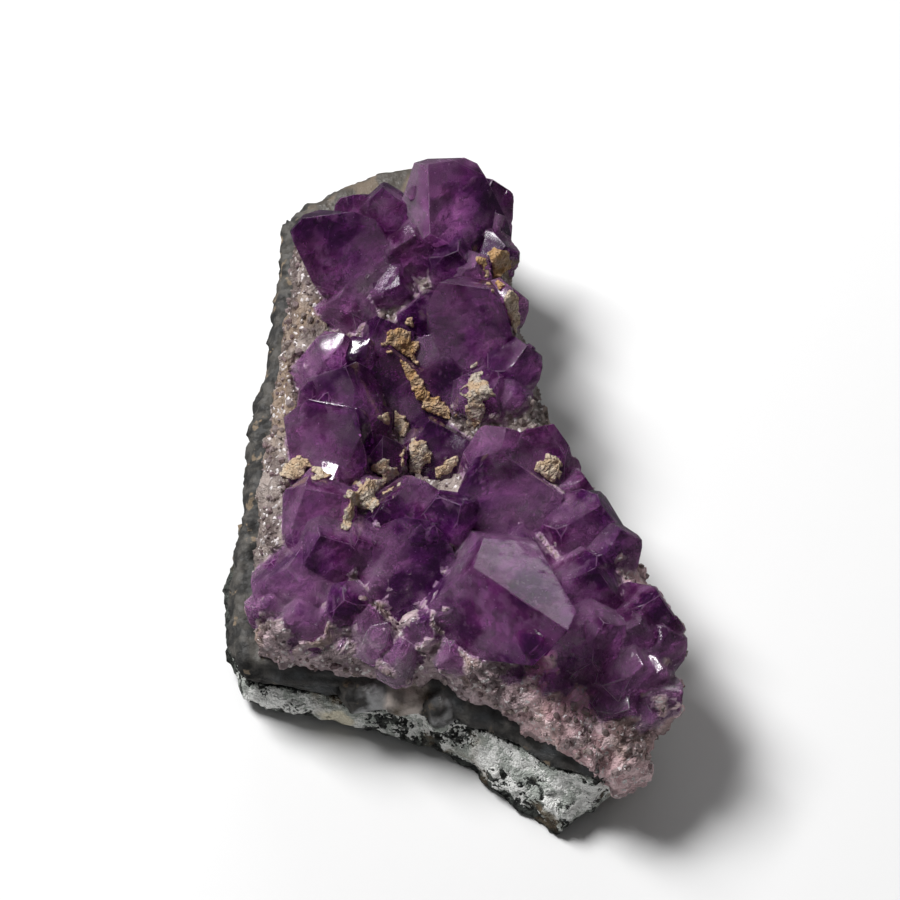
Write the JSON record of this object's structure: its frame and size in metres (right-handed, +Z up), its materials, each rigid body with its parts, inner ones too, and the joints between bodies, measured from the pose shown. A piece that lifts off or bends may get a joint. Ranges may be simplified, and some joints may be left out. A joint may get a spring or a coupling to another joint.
{
  "type": "amethyst cluster",
  "caption": "Broken piece of geode wall that rests on its flat rock back: basalt, a rind of grey agate, a pale quartz crust, purple quartz crystals pointing up, small tan calcite patches.",
  "frame": {"origin": "middle of the whole piece's box, on the flat base it rests on", "axes": "+Z up, away from the rock, the way the crystals point; +Y along the piece's length, from the wide front edge to the narrow back end; +X to the right as seen from the front"},
  "size_m": [0.0692, 0.1106, 0.0371],
  "materials": {
    "basalt": null,
    "agate": null,
    "amethyst": "clear to cloudy purple quartz, deepest at the tips and pale at the roots, smooth glassy faces, IOR 1.544",
    "calcite": null
  },
  "bodies": {
    "root": {"basalt_matrix": "basalt", "agate_rind": "agate", "amethyst_crystals": "amethyst", "calcite_back": "calcite", "calcite_right_rim": "calcite", "calcite_vein": "calcite", "calcite_pocket_right": "calcite", "calcite_pocket_left": "calcite", "calcite_pocket_front": "calcite", "calcite_front": "calcite", "calcite_left": "calcite", "calcite_sliver": "calcite", "calcite_right": "calcite"}
  },
  "joints": []
}
